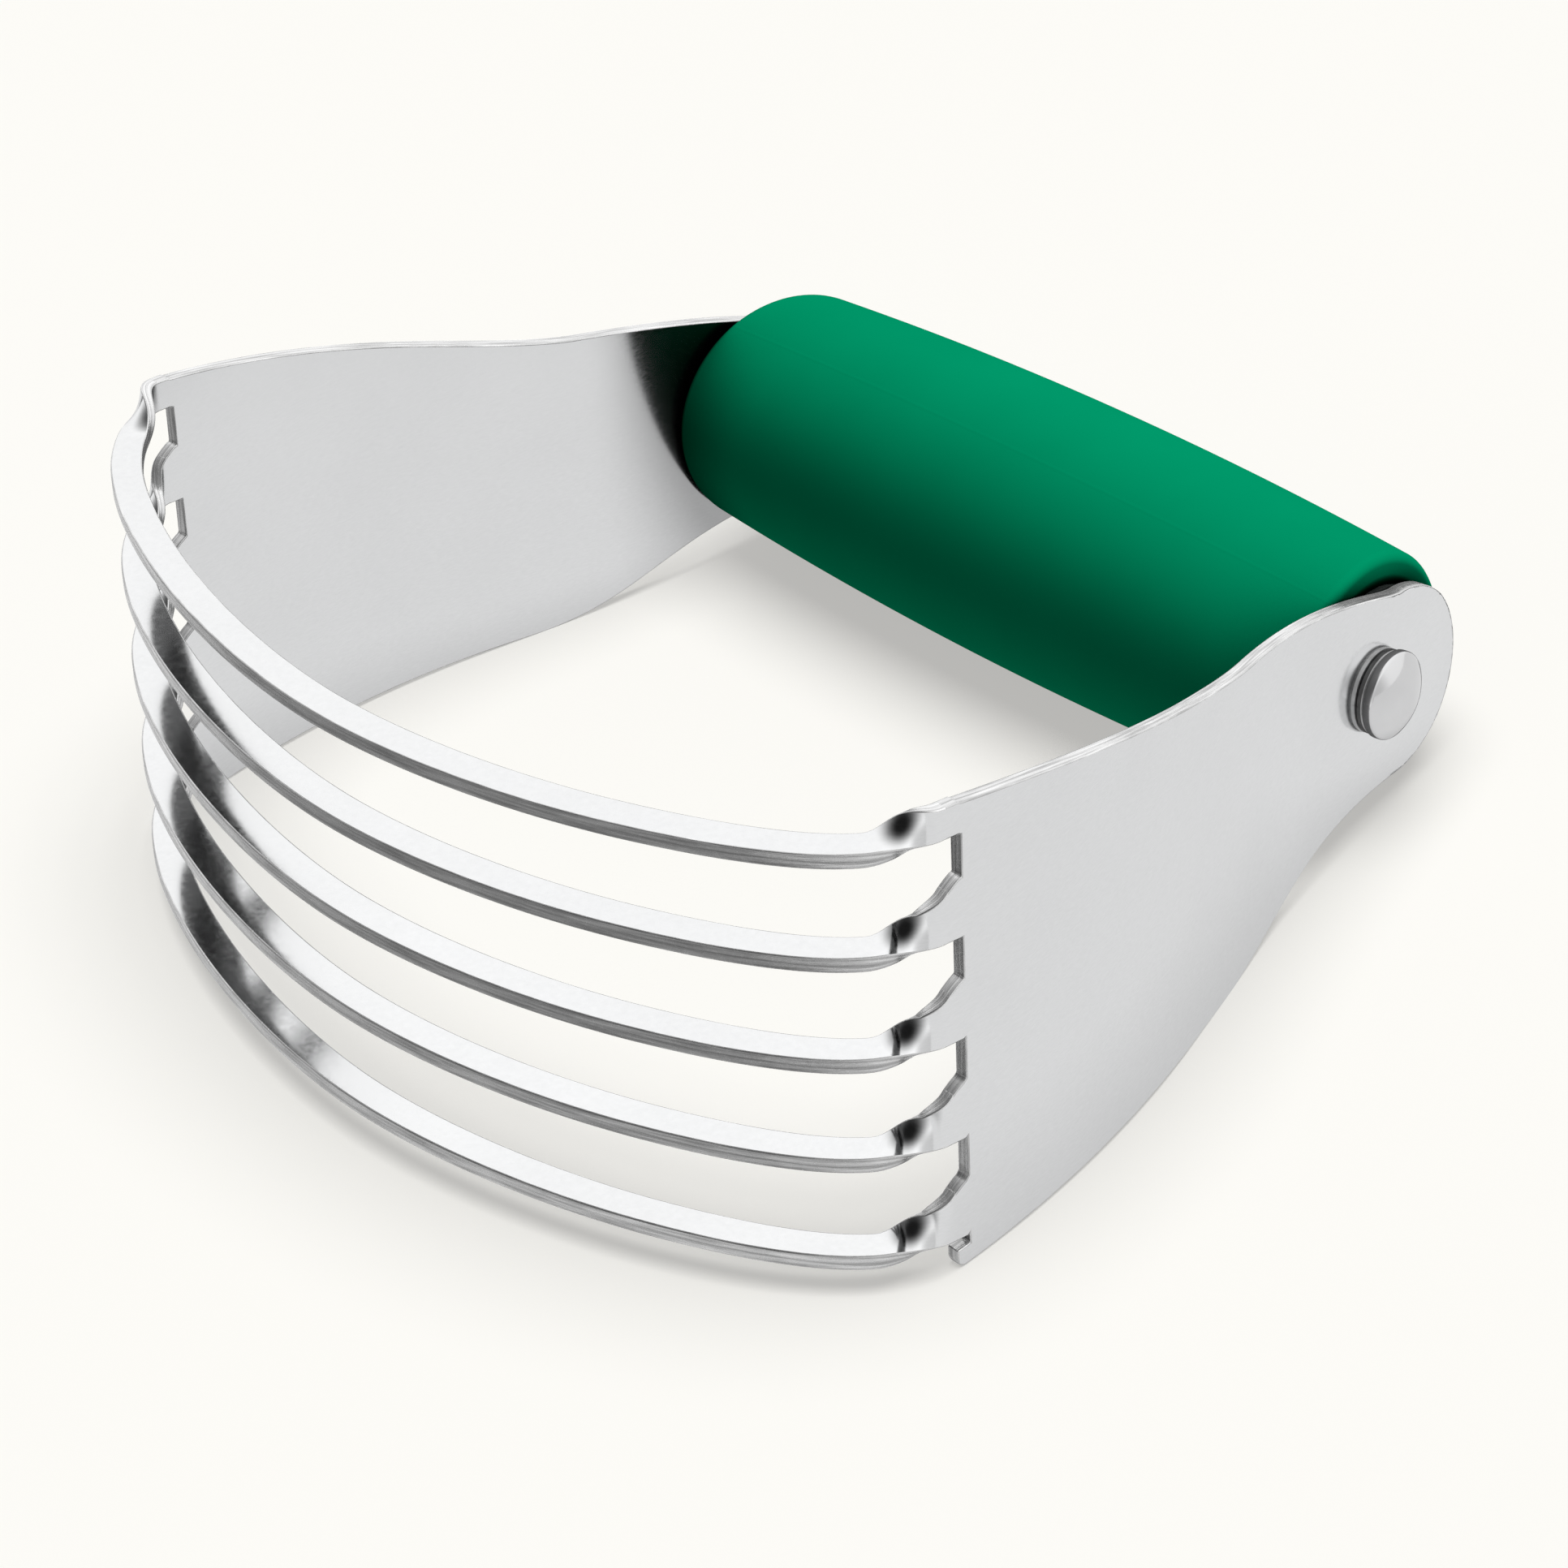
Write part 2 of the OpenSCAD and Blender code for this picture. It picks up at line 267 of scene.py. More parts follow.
def section(k, place, angle, w):
    """Outer and inner point of blade k's section, w of the way across from its lower edge."""
    ahead = BOW_START.y - place.y
    turn = radians(90 * smooth((ahead - TWIST_START) / TWIST_LENGTH))
    n = inward(angle)
    base = Vector((place.x, place.y, blade_low(k) - drop(ahead)))
    across = Vector((n.x, n.y, tan(radians(BLADE_SLOPE)) * n.y))
    up = Vector((0, 0, 1))
    reach = strip_height(k, ahead) * w * (cos(turn) * up + sin(turn) * across)
    outer = base + SHEET * sin(turn) * up + reach
    inner = base + SHEET * cos(turn) * across + reach
    return outer, inner


class Shell:
    """A sheet given by its outer and inner points, closed along its borders into a solid."""

    def __init__(self):
        self.outer, self.inner, self.runs, self.faces = [], [], [], []

    def point(self, outer, inner, run):
        """run grows along the sheet's borders, for the streaks on its cut edges to follow."""
        self.outer.append(outer)
        self.inner.append(inner)
        self.runs.append(run)
        return len(self.outer) - 1

    def strip(self, first, second):
        """Faces between two rows of points."""
        self.faces += zip(first, first[1:], second[1:], second)

    def mirror(self, seam):
        """Adds the other half, sharing the points in seam."""
        twin = {}
        for i in range(len(self.outer)):
            if i in seam:
                twin[i] = i
            else:
                outer, inner = self.outer[i].copy(), self.inner[i].copy()
                outer.x, inner.x = -outer.x, -inner.x
                twin[i] = self.point(outer, inner, self.runs[i])
        self.faces += [tuple(twin[i] for i in reversed(f)) for f in self.faces]

    def mesh(self, name):
        """The solid's mesh; its faces take the first material and its cut edges the second."""
        count = len(self.outer)
        edges = dict.fromkeys(edge for f in self.faces for edge in zip(f, f[1:] + f[:1]))
        rim = [(a, b) for a, b in edges if (b, a) not in edges]
        faces = list(self.faces)
        faces += [tuple(i + count for i in reversed(f)) for f in self.faces]
        faces += [(b, a, a + count, b + count) for a, b in rim]
        mesh = bpy.data.meshes.new(name)
        mesh.from_pydata([AT_REST @ p for p in self.outer + self.inner], [], faces)
        for i, polygon in enumerate(mesh.polygons):
            polygon.material_index = 1 if i >= 2 * len(self.faces) else 0
            polygon.use_smooth = True
        attribute = mesh.attributes.new("run", "FLOAT_VECTOR", "POINT")
        runs = [v for side in (0, 1) for run in self.runs for v in (run, side, 0)]
        attribute.data.foreach_set("vector", runs)
        return mesh


def add_piece(name, mesh, materials):
    piece = bpy.data.objects.new(name, mesh)
    bpy.context.scene.collection.objects.link(piece)
    for material in materials:
        mesh.materials.append(material)
    return piece


def spread(low, high, count):
    return [low + (high - low) * i / count for i in range(count + 1)]


LUG_RINGS = 12          # spans from the round end's tip to its centre
PLATE_COLUMNS = 60      # spans along the plate, up to the slots and beside them
SLOT_COLUMNS = 6
CORNER_ROWS = 5         # spans below the small slot
SMALL_SLOT_ROWS = 2
SLOT_ROWS = 5           # spans across a slot
ROOT_ROWS = 8           # spans across a blade and its root
HALF_STATIONS = 64      # spans along half a blade, and how much they crowd towards the twist
STATION_CROWDING = 1.45


def front_rows():
    """Heights at the plate's front edge from the bottom up, which spans between them are slots,
    and the blade whose strip each height belongs to, with its place across that strip."""
    heights = spread(LOW, blade_low(BLADES - 1) - LOW_SLOT, CORNER_ROWS)
    slots = [False] * CORNER_ROWS
    strips = [(None, 0)] * len(heights)

    def add(height, count, is_slot):
        heights.extend(spread(heights[-1], height, count)[1:])
        slots.extend([is_slot] * count)

    add(blade_low(BLADES - 1), SMALL_SLOT_ROWS, True)
    strips += [(None, 0)] * SMALL_SLOT_ROWS
    for k in range(BLADES - 1, -1, -1):
        add(root_top(k), ROOT_ROWS, False)
        strips[-1] = (k, 0)
        strips += [(k, w) for w in spread(0, 1, ROOT_ROWS)[1:]]
        if k:
            add(blade_low(k - 1), SLOT_ROWS, True)
            strips += [(None, 0)] * SLOT_ROWS
    return heights, slots, strips


def sheet_pair(shell, t, z):
    """Adds the plate's pair of points at t along the sheet and at height z."""
    p, n = sheet_point(t), SHEET * inward(sheet_angle(t))
    outer = Vector((p.x, p.y, z))
    return shell.point(outer, outer + Vector((n.x, n.y, 0)), t + z)


def lug_rows(shell, shares):
    """The lug's round end: a half disc covered by a grid that meets the plate's rows."""
    rows = []
    for ring in range(LUG_RINGS, 0, -1):
        u = sin(pi / 2 * ring / LUG_RINGS)
        row = []
        for share in shares:
            v = 2 * share - 1
            t = -LUG_BACK - LUG_RADIUS * (u * sqrt(1 - v * v / 2))
            z = LUG_RADIUS * (v * sqrt(1 - u * u / 2)) - LUG_DROP
            row.append(sheet_pair(shell, t, z))
        rows.append(row)
    return rows


def plate_rows(shell, shares, strips, columns):
    """The plate's rows of points from its lower to its upper edge, one at each t in columns."""
    corner_start = PLATE_REACH - CORNER_RADIUS
    rows = []
    for t in columns:
        low, high = bottom_edge(t), top_edge(t)
        round_off = max(0.0, (t - corner_start) / CORNER_RADIUS)
        lift = CORNER_RADIUS * (1 - sqrt(max(0.0, 1 - round_off ** 2)))
        row = []
        for j, share in enumerate(shares):
            z = low + share * (high - low)
            if j < CORNER_ROWS:
                z += lift * (1 - j / CORNER_ROWS)
            k, w = strips[j]
            if k is not None and t > SLOT_END:
                z = blade_low(k) + w * strip_height(k, t - PLATE_REACH)
            row.append(sheet_pair(shell, t, z))
        rows.append(row)
    return rows


def add_half_blade(shell, k, root):
    """Blade k from its root's row of points to the row at its middle, which it returns."""
    last = root
    run = 0.0
    before = BOW_START
    for i in range(1, HALF_STATIONS + 1):
        u = (i / HALF_STATIONS) ** STATION_CROWDING
        place, slope = curve(BOW, u), curve_slope(BOW, u)
        angle = degrees(atan2(slope.x, -slope.y))
        run += (place - before).length
        before = place
        row = []
        for w in spread(0, 1, ROOT_ROWS):
            row.append(shell.point(*section(k, place, angle, w), PLATE_REACH + run))
        shell.strip(last, row)
        last = row
    return last


def blade_frame_mesh():
    """One plate with its half of every blade, and its mirror image joined on at the middle."""
    shell = Shell()
    heights, slots, strips = front_rows()
    shares = [(h - LOW) / (TOP - LOW) for h in heights]
    whole = spread(-LUG_BACK, SLOT_END, PLATE_COLUMNS)
    rows = lug_rows(shell, shares) + plate_rows(shell, shares, strips, whole)
    for first, second in zip(rows, rows[1:]):
        shell.strip(first, second)
    slotted = spread(SLOT_END, PLATE_REACH, SLOT_COLUMNS)[1:]
    rows = rows[-1:] + plate_rows(shell, shares, strips, slotted)
    for first, second in zip(rows, rows[1:]):
        for j, is_slot in enumerate(slots):
            if not is_slot:
                shell.strip(first[j:j + 2], second[j:j + 2])
    seam = set()
    first_row = slots.index(True) + SMALL_SLOT_ROWS
    for k in range(BLADES - 1, -1, -1):
        root = rows[-1][first_row:first_row + ROOT_ROWS + 1]
        seam.update(add_half_blade(shell, k, root))
        first_row += ROOT_ROWS + SLOT_ROWS
    shell.mirror(seam)
    return shell.mesh("blade_sheet")


CREASE = 40             # degrees above which an edge is rounded


def soften_edges(piece, width, segments, material=-1):
    """Rounds sharp edges, width in millimetres; material is the slot that the new faces take."""
    bevel = piece.modifiers.new("soft_edges", "BEVEL")
    bevel.width = width * MM
    bevel.segments = segments
    bevel.limit_method = "ANGLE"
    bevel.angle_limit = radians(CREASE)
    bevel.use_clamp_overlap = False
    bevel.material = material
    bevel.harden_normals = True


# ---------------------------------------------------------------- the grip
AROUND = 128            # spans round the sleeve
BODY_STEPS = 20         # spans from its middle to an end
ROUND_STEPS = 8         # spans across the rounding at an end
BORE_SHARES = [1, 0.98] + spread(0.9, -0.9, 12) + [-0.98, -1]


def barrel_radius(x, wall):
    return GRIP_RADIUS - wall - GRIP_TAPER * (x / HALF_SPAN) ** 2


def end_plane(depth, y):
    """Where a plane parallel to the right-hand lug, this deep behind its outer face, lies at y."""
    lean = radians(LUG_LEAN)
    return HALF_SPAN - (depth + y * sin(lean)) / cos(lean)


def sleeve_mesh():
    depth = SHEET + END_GAP
    points, faces, around = [], [], []
    passes = 4              # the radius and x depend on each other; this many passes settle them

    def ring(share, ring_depth, wall):
        """A ring, a share of the way out to a plane at ring_depth and wall below the surface."""
        start = len(points)
        for j in range(AROUND):
            angle = 2 * pi * j / AROUND
            x = 0.0
            for _ in range(passes):
                radius = barrel_radius(x, wall)
                x = share * end_plane(ring_depth, radius * cos(angle))
            points.append(AT_REST @ Vector((x, radius * cos(angle), radius * sin(angle))))
            around.append(angle)
        return start

    def rounding(side):
        arc = spread(0, pi / 2, ROUND_STEPS)
        return [(side, depth + END_ROUND * (1 - cos(a)), END_ROUND * (1 - sin(a))) for a in arc]

    body = [sin(pi / 2 * i / BODY_STEPS) for i in range(1 - BODY_STEPS, BODY_STEPS)]
    face_middle = (END_ROUND + SLEEVE_WALL) / 2
    rings = [(-1, depth, face_middle)] + rounding(-1)
    rings += [(s, depth + END_ROUND, 0.0) for s in body]
    rings += rounding(1)[::-1] + [(1, depth, face_middle)]
    rings += [(s, depth, SLEEVE_WALL) for s in BORE_SHARES]
    starts = [ring(*r) for r in rings]
    for a, b in zip(starts, starts[1:] + starts[:1]):
        for j in range(AROUND):
            n = (j + 1) % AROUND
            faces.append((a + j, a + n, b + n, b + j))
    mesh = bpy.data.meshes.new("sleeve_skin")
    mesh.from_pydata(points, [], faces)
    for polygon in mesh.polygons:
        polygon.use_smooth = True
    attribute = mesh.attributes.new("around", "FLOAT", "POINT")
    attribute.data.foreach_set("value", around)
    return mesh


# ---------------------------------------------------------------- turned pieces
TURN_STEPS = 96


def at_rivet(side):
    """Frame of a rivet: z out of the plate's outer face, away from the grip."""
    lean = radians(LUG_LEAN)
    out = Vector((cos(lean), sin(lean), 0))
    along = Vector((-sin(lean), cos(lean), 0))
    up = Vector((0, 0, 1))
    m = Matrix((along, up, out)).transposed().to_4x4()
    m.translation = Vector((HALF_SPAN, 0, 0))
    mirror = Matrix.Scale(side, 4, (1, 0, 0))
    return AT_REST @ mirror @ m


def turned_mesh(name, profile, place, closed):
    """Turns (radius, height) points about z. An open profile starts and ends on the axis."""
    points, faces, rings = [], [], []
    for r, h in profile:
        start = len(points)
        if r == 0:
            points.append(place @ Vector((0, 0, h)))
            rings.append([start] * TURN_STEPS)
            continue
        for j in range(TURN_STEPS):
            a = 2 * pi * j / TURN_STEPS
            points.append(place @ Vector((r * cos(a), r * sin(a), h)))
        rings.append(list(range(start, start + TURN_STEPS)))
    pairs = list(zip(rings, rings[1:]))
    if closed:
        pairs.append((rings[-1], rings[0]))
    flip = place.determinant() < 0
    for a, b in pairs:
        for j in range(TURN_STEPS):
            n = (j + 1) % TURN_STEPS
            face = []
            for i in (a[j], a[n], b[n], b[j]):
                if i not in face:
                    face.append(i)
            faces.append(tuple(reversed(face)) if flip else tuple(face))
    mesh = bpy.data.meshes.new(name)
    mesh.from_pydata(points, [], faces)
    for polygon in mesh.polygons:
        polygon.use_smooth = True
    return mesh


def arc_points(radius, height, size, first, last, steps):
    """Part of a circle about (radius, height), angles in degrees from the outward direction."""
    arc = spread(radians(first), radians(last), steps)
    return [(radius + size * cos(a), height + size * sin(a)) for a in arc]


def rivet_profile():
    seat = WASHER
    tail = seat - SHANK_LENGTH
    tip = 0.3               # chamfer of the shank's end
    neck = 0.1              # flare of the shank under the head
    lip = 0.4               # rounding of the head's lower edge
    brow = 0.5              # rounding where the side meets the dome
    gap = 0.06              # angle between the brow's last ring and the dome's first
    dome = (HEAD_RADIUS ** 2 + HEAD_DOME ** 2) / 2 / HEAD_DOME
    centre = seat + HEAD_RIM + HEAD_DOME - dome
    rise = sqrt((dome - brow) ** 2 - (HEAD_RADIUS - brow) ** 2)
    start = atan2(rise, HEAD_RADIUS - brow)
    profile = [(0, tail), (SHANK_RADIUS - tip, tail), (SHANK_RADIUS, tail + tip)]
    profile += [(SHANK_RADIUS, seat - neck), (SHANK_RADIUS + neck, seat)]
    profile += arc_points(HEAD_RADIUS - lip, seat + lip, lip, -90, 0, 5)
    profile += arc_points(HEAD_RADIUS - brow, centre + rise, brow, 0, degrees(start), 6)
    profile += arc_points(0, centre, dome, degrees(start + gap), 90, 16)[:-1]
    return profile + [(0, centre + dome)]


def washer_profile():
    hole = SHANK_RADIUS + BORE_CLEARANCE
    rim = HEAD_RADIUS - WASHER_INSET
    edge = WASHER_CHAMFER
    profile = [(hole + edge, 0), (rim - edge, 0), (rim, edge), (rim, WASHER - edge)]
    profile += [(rim - edge, WASHER), (hole + edge, WASHER), (hole, WASHER - edge)]
    return profile + [(hole, edge)]


# ---------------------------------------------------------------- materials
class Tree:
    """Short calls for building a node tree."""

    def __init__(self, tree):
        self.tree = tree

    def add(self, kind, **values):
        """A new node, with its inputs and properties set by name."""
        node = self.tree.nodes.new(kind)
        for key, value in values.items():
            if key in node.inputs:
                node.inputs[key].default_value = value
            else:
                setattr(node, key, value)
        return node

    def join(self, start, end):
        self.tree.links.new(start, end)

    def span(self, value, low, high, from_low=0.3, from_high=0.7, kind="LINEAR"):
        """Maps value's range from from_low..from_high to low..high, and stops at both ends."""
        node = self.add("ShaderNodeMapRange", interpolation_type=kind)
        node.inputs["From Min"].default_value = from_low
        node.inputs["From Max"].default_value = from_high
        node.inputs["To Min"].default_value = low
        node.inputs["To Max"].default_value = high
        self.join(value, node.inputs["Value"])
        return node.outputs["Result"]

    def math(self, operation, first, second=None):
        """first and second are numbers or sockets."""
        node = self.add("ShaderNodeMath", operation=operation)
        for socket, value in zip(node.inputs, (first, second)):
            if isinstance(value, (int, float)):
                socket.default_value = value
            elif value is not None:
                self.join(value, socket)
        return node.outputs["Value"]


class Surface(Tree):
    """A material around its main shader."""

    def __init__(self, name):
        self.material = bpy.data.materials.new(name)
        self.material.use_nodes = True
        super().__init__(self.material.node_tree)
        self.shader = self.tree.nodes["Principled BSDF"]

    def noise(self, scale, stretch=(1, 1, 1), detail=4.0, roughness=0.55):
        """Noise in object coordinates; stretch makes it finer along an axis."""
        source = self.add("ShaderNodeTexCoord")
        mapping = self.add("ShaderNodeMapping", Scale=stretch)
        node = self.add("ShaderNodeTexNoise", Scale=scale, Detail=detail, Roughness=roughness)
        self.join(source.outputs["Object"], mapping.inputs["Vector"])
        self.join(mapping.outputs["Vector"], node.inputs["Vector"])
        return node.outputs["Fac"]

    def blend(self, factor, first, second):
        """A colour between two, by a socket's value from 0 to 1."""
        node = self.add("ShaderNodeMix", data_type="RGBA")
        self.join(factor, node.inputs["Factor"])
        node.inputs["A"].default_value = (*first, 1)
        node.inputs["B"].default_value = (*second, 1)
        return node.outputs["Result"]

    def dimmed(self, colour, matt, mirrored):
        """The colour itself to the eye, a dark grey to matt pieces and a dimmer colour in mirrors,
        so that a piece neither lights up its neighbours nor fills their reflections."""
        path = self.add("ShaderNodeLightPath")
        dim = self.add("ShaderNodeMix", data_type="RGBA", blend_type="MULTIPLY")
        self.join(path.outputs["Is Glossy Ray"], dim.inputs["Factor"])
        self.join(colour, dim.inputs["A"])
        dim.inputs["B"].default_value = (mirrored, mirrored, mirrored, 1)
        grey = self.add("ShaderNodeMix", data_type="RGBA")
        self.join(path.outputs["Is Diffuse Ray"], grey.inputs["Factor"])
        self.join(dim.outputs["Result"], grey.inputs["A"])
        grey.inputs["B"].default_value = (matt, matt, matt, 1)
        return grey.outputs["Result"]

    def scaled(self, colour, factor):
        """The colour times a socket's value."""
        node = self.add("ShaderNodeVectorMath", operation="SCALE")
        self.join(colour, node.inputs["Vector"])
        self.join(factor, node.inputs["Scale"])
        return node.outputs["Vector"]

    def bump(self, height, strength, distance, before=None):
        """distance is in millimetres; before is the normal that this bump adds to."""
        node = self.add("ShaderNodeBump")
        node.inputs["Strength"].default_value = strength
        node.inputs["Distance"].default_value = distance * MM
        self.join(height, node.inputs["Height"])
        if before is not None:
            self.join(before, node.inputs["Normal"])
        return node.outputs["Normal"]

    def finish(self, colour, roughness, normal, metallic=0.0):
        """Joins the sockets to the shader and gives back the material."""
        self.join(colour, self.shader.inputs["Base Color"])
        self.join(roughness, self.shader.inputs["Roughness"])
        self.join(normal, self.shader.inputs["Normal"])
        self.shader.inputs["Metallic"].default_value = metallic
        return self.material


STEEL_TO_MATT = 0.12        # how bright matt pieces see the sheet, and how dim mirrors show it
STEEL_IN_MIRRORS = 0.15
SLEEVE_TO_MATT = 0.02       # the same for the sleeve
SLEEVE_IN_MIRRORS = 0.06
SLEEVE_PAINTED_SHADE = 12           # reach of the painted shade by the plates, in millimetres, and its strength
SLEEVE_PAINTED_SHADE_POWER = 2.5
PARTING_ANGLE = 118         # degrees round the sleeve, from its back over the top
PARTING_WIDTH = 0.02        # half the parting line's width, in radians


def steel_face():
    """Bright satin sheet: a fine rolling grain and faint clouds."""
    n = Surface("blade_steel")
    grain = n.noise(1400, (1, 1, 5), detail=3)
    clouds = n.noise(40)
    mottle = n.span(n.math("ADD", clouds, grain), 0, 1, 0.65, 1.35)
    shade = n.blend(mottle, (0.775, 0.78, 0.785), (0.84, 0.845, 0.85))
    fine = n.bump(grain, 0.09, 0.012)
    return n.finish(
        colour=n.dimmed(shade, STEEL_TO_MATT, STEEL_IN_MIRRORS),
        roughness=n.span(grain, 0.1, 0.15),
        normal=n.bump(clouds, 0.05, 0.2, fine),
        metallic=1,
    )


def steel_cut():
    """Blanked edge: streaks that run along it, rougher than the faces and partly matt, so that
    it stays grey where a polished one would mirror the sleeve's dark side."""
    n = Surface("cut_edge")
    run = n.add("ShaderNodeAttribute", attribute_name="run")

    def streaks(along, across, detail):
        mapping = n.add("ShaderNodeMapping", Scale=(along, across, 1))
        node = n.add("ShaderNodeTexNoise", Scale=1, Detail=detail, Roughness=0.6)
        n.join(run.outputs["Vector"], mapping.inputs["Vector"])
        n.join(mapping.outputs["Vector"], node.inputs["Vector"])
        return node.outputs["Fac"]

    lines = streaks(0.12, 5.0, 4)
    nicks = streaks(1.6, 3.0, 3)
    shade = n.blend(n.span(lines, 0, 1, 0.35, 0.65), (0.45, 0.45, 0.45), (0.95, 0.95, 0.95))
    wavy = n.bump(lines, 0.35, 0.1)
    return n.finish(
        colour=n.dimmed(shade, STEEL_TO_MATT, STEEL_IN_MIRRORS),
        roughness=n.span(nicks, 0.16, 0.32),
        normal=n.bump(nicks, 0.1, 0.06, wavy),
        metallic=0.7,
    )


def polished_head():
    """Bright rivet head with fine scuffs and faint clouds."""
    n = Surface("rivet_steel")
    scuffs = n.noise(700, (1, 2, 1), detail=5, roughness=0.7)
    clouds = n.noise(120, detail=3)
    return n.finish(
        colour=n.blend(n.span(clouds, 0, 1), (0.66, 0.66, 0.665), (0.75, 0.75, 0.755)),
        roughness=n.span(scuffs, 0.07, 0.14),
        normal=n.bump(clouds, 0.08, 0.06),
        metallic=1,
    )


def washer_steel():
    """Plain dull grey washer."""
    n = Surface("washer_steel")
    grain = n.noise(800)
    return n.finish(
        colour=n.blend(n.span(grain, 0, 1), (0.3, 0.3, 0.3), (0.5, 0.5, 0.5)),
        roughness=n.span(grain, 0.22, 0.4),
        normal=n.bump(grain, 0.2, 0.03),
        metallic=1,
    )


def green_sleeve():
    """Soft moulded sleeve without sheen: fine moulding grain, faint clouds, painted shade near the
    plates (ambient occlusion darkens its colour), and a parting line a little in front of its top."""
    n = Surface("green_sleeve")
    pores = n.noise(1600, detail=3)
    clouds = n.noise(30)
    shade = n.blend(n.span(clouds, 0, 1), (0.0, 0.27, 0.122), (0.0005, 0.3, 0.137))
    # painted shade: the colour darkens by ambient occlusion where the plates come near
    painted_occlusion = n.add("ShaderNodeAmbientOcclusion", samples=8, Distance=SLEEVE_PAINTED_SHADE * MM)
    shade = n.scaled(shade, n.math("POWER", painted_occlusion.outputs["AO"], SLEEVE_PAINTED_SHADE_POWER))
    around = n.add("ShaderNodeAttribute", attribute_name="around").outputs["Fac"]
    off_line = n.math("ABSOLUTE", n.math("SUBTRACT", around, radians(PARTING_ANGLE)))
    ridge = n.span(off_line, 1, 0, 0, PARTING_WIDTH)
    grain = n.bump(pores, 0.1, 0.02)
    n.shader.inputs["Specular IOR Level"].default_value = 0
    return n.finish(
        colour=n.dimmed(shade, SLEEVE_TO_MATT, SLEEVE_IN_MIRRORS),
        roughness=n.span(pores, 0.42, 0.52),
        normal=n.bump(ridge, 0.25, 0.05, grain),
    )


def core_plastic():
    """Dark moulded plastic with a fine pitted surface."""
    n = Surface("core_plastic")
    pits = n.noise(1300)
    return n.finish(
        colour=n.blend(n.span(pits, 0, 1), (0.012, 0.02, 0.018), (0.03, 0.04, 0.036)),
        roughness=n.span(pits, 0.45, 0.65),
        normal=n.bump(pits, 0.25, 0.04),
    )


def insert_brass():
    """Machined brass with fine tool lines."""
    n = Surface("insert_brass")
    lines = n.noise(500, (8, 1, 1), detail=3)
    return n.finish(
        colour=n.blend(n.span(lines, 0, 1), (0.5, 0.33, 0.12), (0.72, 0.52, 0.22)),
        roughness=n.span(lines, 0.2, 0.35),
        normal=n.bump(lines, 0.2, 0.03),
        metallic=1,
    )


FLOOR_LIT = (0.475, 0.469, 0.446)   # the part that takes shadows
FLOOR_GLOW = (0.47, 0.465, 0.45)    # the part that keeps them pale
FLOOR_MOTTLE = 0.995                # how much the lit part dims in its faint clouds
FLOOR_MIRRORED = 0.84               # how bright polished pieces see it, against the eye
PAINTED_FRONT_SHADE = 0.3                    # painted shade: how much darker they see it in front of the blades
FRONT_RANGE = (-0.095, -0.135)      # where along Y that painted shade sets in
FRONT_SIDES = (0.08, 0.12)          # where along X it fades out again
BACKDROP_WHITE = (0.977, 0.968, 0.928)  # what the camera sees past the floor's edge


def floor_white():
    """Warm white sweep. Its mirror image is neutral, with painted shade in front of the tool that
    only mirrors see.
    """
    n = Surface("floor_white")
    clouds = n.noise(6, detail=2)
    place = n.add("ShaderNodeNewGeometry")
    split = n.add("ShaderNodeSeparateXYZ")
    n.join(place.outputs["Position"], split.inputs["Vector"])
    # painted shade on the floor in front of the blades, seen only by polished pieces
    in_front = n.span(split.outputs["Y"], 0, 1, *FRONT_RANGE)
    not_aside = n.span(split.outputs["X"], 1, 0, *FRONT_SIDES)
    ahead = n.math("MULTIPLY", in_front, not_aside)
    painted_shade_level = n.span(ahead, FLOOR_MIRRORED, FLOOR_MIRRORED * PAINTED_FRONT_SHADE, 0, 1)

    def seen(lit_colour, glow_colour, level=None):
        """A surface that is partly lit and partly glows, both dimmed by level."""
        lit = n.add("ShaderNodeBsdfDiffuse")
        glow = n.add("ShaderNodeEmission", Color=(*glow_colour, 1))
        dimmer = tuple(FLOOR_MOTTLE * c for c in lit_colour)
        tint = n.blend(n.span(clouds, 0, 1), lit_colour, dimmer)
        if level is not None:
            tint = n.scaled(tint, level)
            n.join(level, glow.inputs["Strength"])
        n.join(tint, lit.inputs["Color"])
        both = n.add("ShaderNodeAddShader")
        n.join(lit.outputs["BSDF"], both.inputs[0])
        n.join(glow.outputs["Emission"], both.inputs[1])
        return both.outputs["Shader"]

    path = n.add("ShaderNodeLightPath")
    pick = n.add("ShaderNodeMixShader")
    n.join(path.outputs["Is Camera Ray"], pick.inputs["Fac"])
    n.join(seen((FLOOR_LIT[0],) * 3, (FLOOR_GLOW[0],) * 3, painted_shade_level), pick.inputs[1])
    n.join(seen(FLOOR_LIT, FLOOR_GLOW), pick.inputs[2])
    n.join(pick.outputs["Shader"], n.tree.nodes["Material Output"].inputs["Surface"])
    n.tree.nodes.remove(n.shader)
    n.material.cycles.emission_sampling = "NONE"
    return n.material


# ---------------------------------------------------------------- pieces
SHEET_BEVEL = 0.16
WASHER_BEVEL = 0.03


def stand_for(piece, node):
    """The piece is the finished look of a CAD node, in the tool's one body."""
    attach(piece, "root")
    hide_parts(node)


